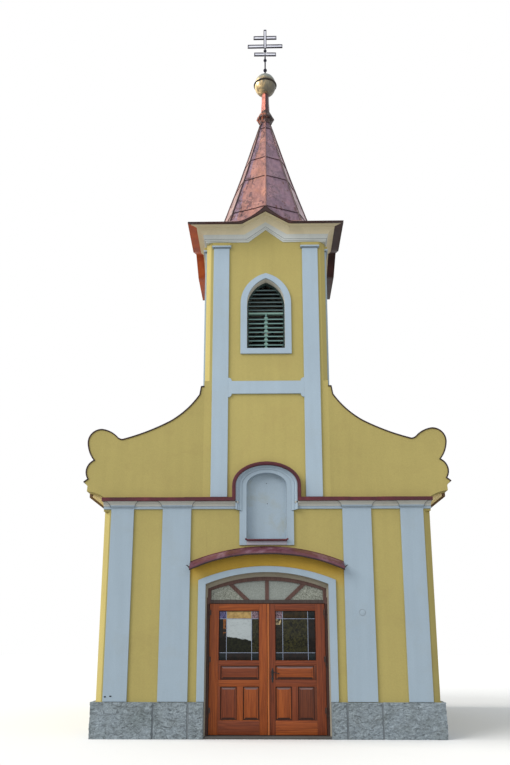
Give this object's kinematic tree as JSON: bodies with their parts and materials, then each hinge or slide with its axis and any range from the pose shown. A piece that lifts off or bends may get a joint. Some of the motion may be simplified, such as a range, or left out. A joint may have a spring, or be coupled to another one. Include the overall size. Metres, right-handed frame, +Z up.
{
  "type": "small chapel",
  "caption": "Small plastered chapel with a scrolled gable, a square tower over the door, a copper spire with ball and triple-bar cross, and a working pair of door leaves.",
  "frame": {"origin": "on the ground, in the middle of the nave's plan", "axes": "+Z up, -Y the front with the door, +X to the right when facing the door from outside"},
  "size_m": [6.594, 6.995, 15.3157],
  "materials": {
    "yellow_plaster": "matte",
    "white_plaster": "matte",
    "cream_plaster": "matte",
    "inner_plaster": "matte",
    "plinth_stone": "rough",
    "floor_stone": "honed",
    "maroon_sheet": "satin",
    "copper_sheet": "satin",
    "gilt_metal": "weathered",
    "cross_metal": "satin",
    "roof_tiles": "matte",
    "door_wood": "varnished",
    "frame_wood": "varnished",
    "louvre_wood": "painted",
    "leaded_glass": "clear",
    "dark_iron": "satin"
  },
  "bodies": {
    "building": {"floor_slab": "floor_stone", "door_sill": "floor_stone", "plinth_front_left": "plinth_stone", "plinth_front_right": "plinth_stone", "plinth_nave": "plinth_stone", "front_wall_left": "yellow_plaster", "front_wall_right": "yellow_plaster", "front_wall_over_door": "yellow_plaster", "side_wall_left": "yellow_plaster", "side_wall_right": "yellow_plaster", "rear_wall": "yellow_plaster", "ceiling_slab": "inner_plaster", "gable_wing_left": "yellow_plaster", "gable_wing_right": "yellow_plaster", "gable_coping_left": "maroon_sheet", "gable_coping_right": "maroon_sheet", "tower_wall_front": "yellow_plaster", "tower_wall_rear": "yellow_plaster", "tower_wall_left": "yellow_plaster", "tower_wall_right": "yellow_plaster", "nave_roof_left": "roof_tiles", "nave_roof_right": "roof_tiles", "ridge_cap": "roof_tiles", "eaves_cornice_left": "cream_plaster", "eaves_cornice_right": "cream_plaster", "front_pilasters_left": "white_plaster", "front_pilasters_right": "white_plaster", "front_cornice": "white_plaster", "metal_band": "maroon_sheet", "niche_surround": "white_plaster", "niche_sill": "maroon_sheet", "door_surround": "white_plaster", "door_canopy": "maroon_sheet", "door_frame": "frame_wood", "fanlight_glass": "leaded_glass", "door_hinge_pins": "dark_iron", "tower_pilasters": "white_plaster", "tower_cross_bands": "white_plaster", "tower_window_surrounds": "white_plaster", "tower_louvres": "louvre_wood", "side_window_surrounds": "white_plaster", "side_window_frames": "frame_wood", "side_window_glass": "leaded_glass", "tower_cornice": "cream_plaster", "tower_roof": "copper_sheet", "spire": "copper_sheet", "spire_collar": "copper_sheet", "spire_ball": "gilt_metal", "cross": "cross_metal"},
    "leaf_left": {"door_leaf_left": "door_wood", "leaf_glass_left": "leaded_glass", "door_hinges_left": "dark_iron"},
    "leaf_right": {"door_leaf_right": "door_wood", "leaf_glass_right": "leaded_glass", "door_hinges_right": "dark_iron", "handle_plates": "dark_iron"},
    "lever": {"door_lever": "dark_iron"}
  },
  "joints": [
    {"name": "door_left_hinge", "type": "hinge", "parent": "building", "child": "leaf_left", "pos_m": [-0.996, -3.141, 1.1], "axis": [0, 0, -1], "range_deg": [0, 100]},
    {"name": "door_right_hinge", "type": "hinge", "parent": "building", "child": "leaf_right", "pos_m": [0.996, -3.141, 1.1], "axis": [0, 0, 1], "range_deg": [0, 100]},
    {"name": "lever_turn", "type": "hinge", "parent": "leaf_right", "child": "lever", "pos_m": [0.087, -3.125, 1.04], "axis": [0, 1, 0], "range_deg": [0, 40], "stiffness_Nm_per_rad": 4, "springref_deg": -17.19}
  ]
}
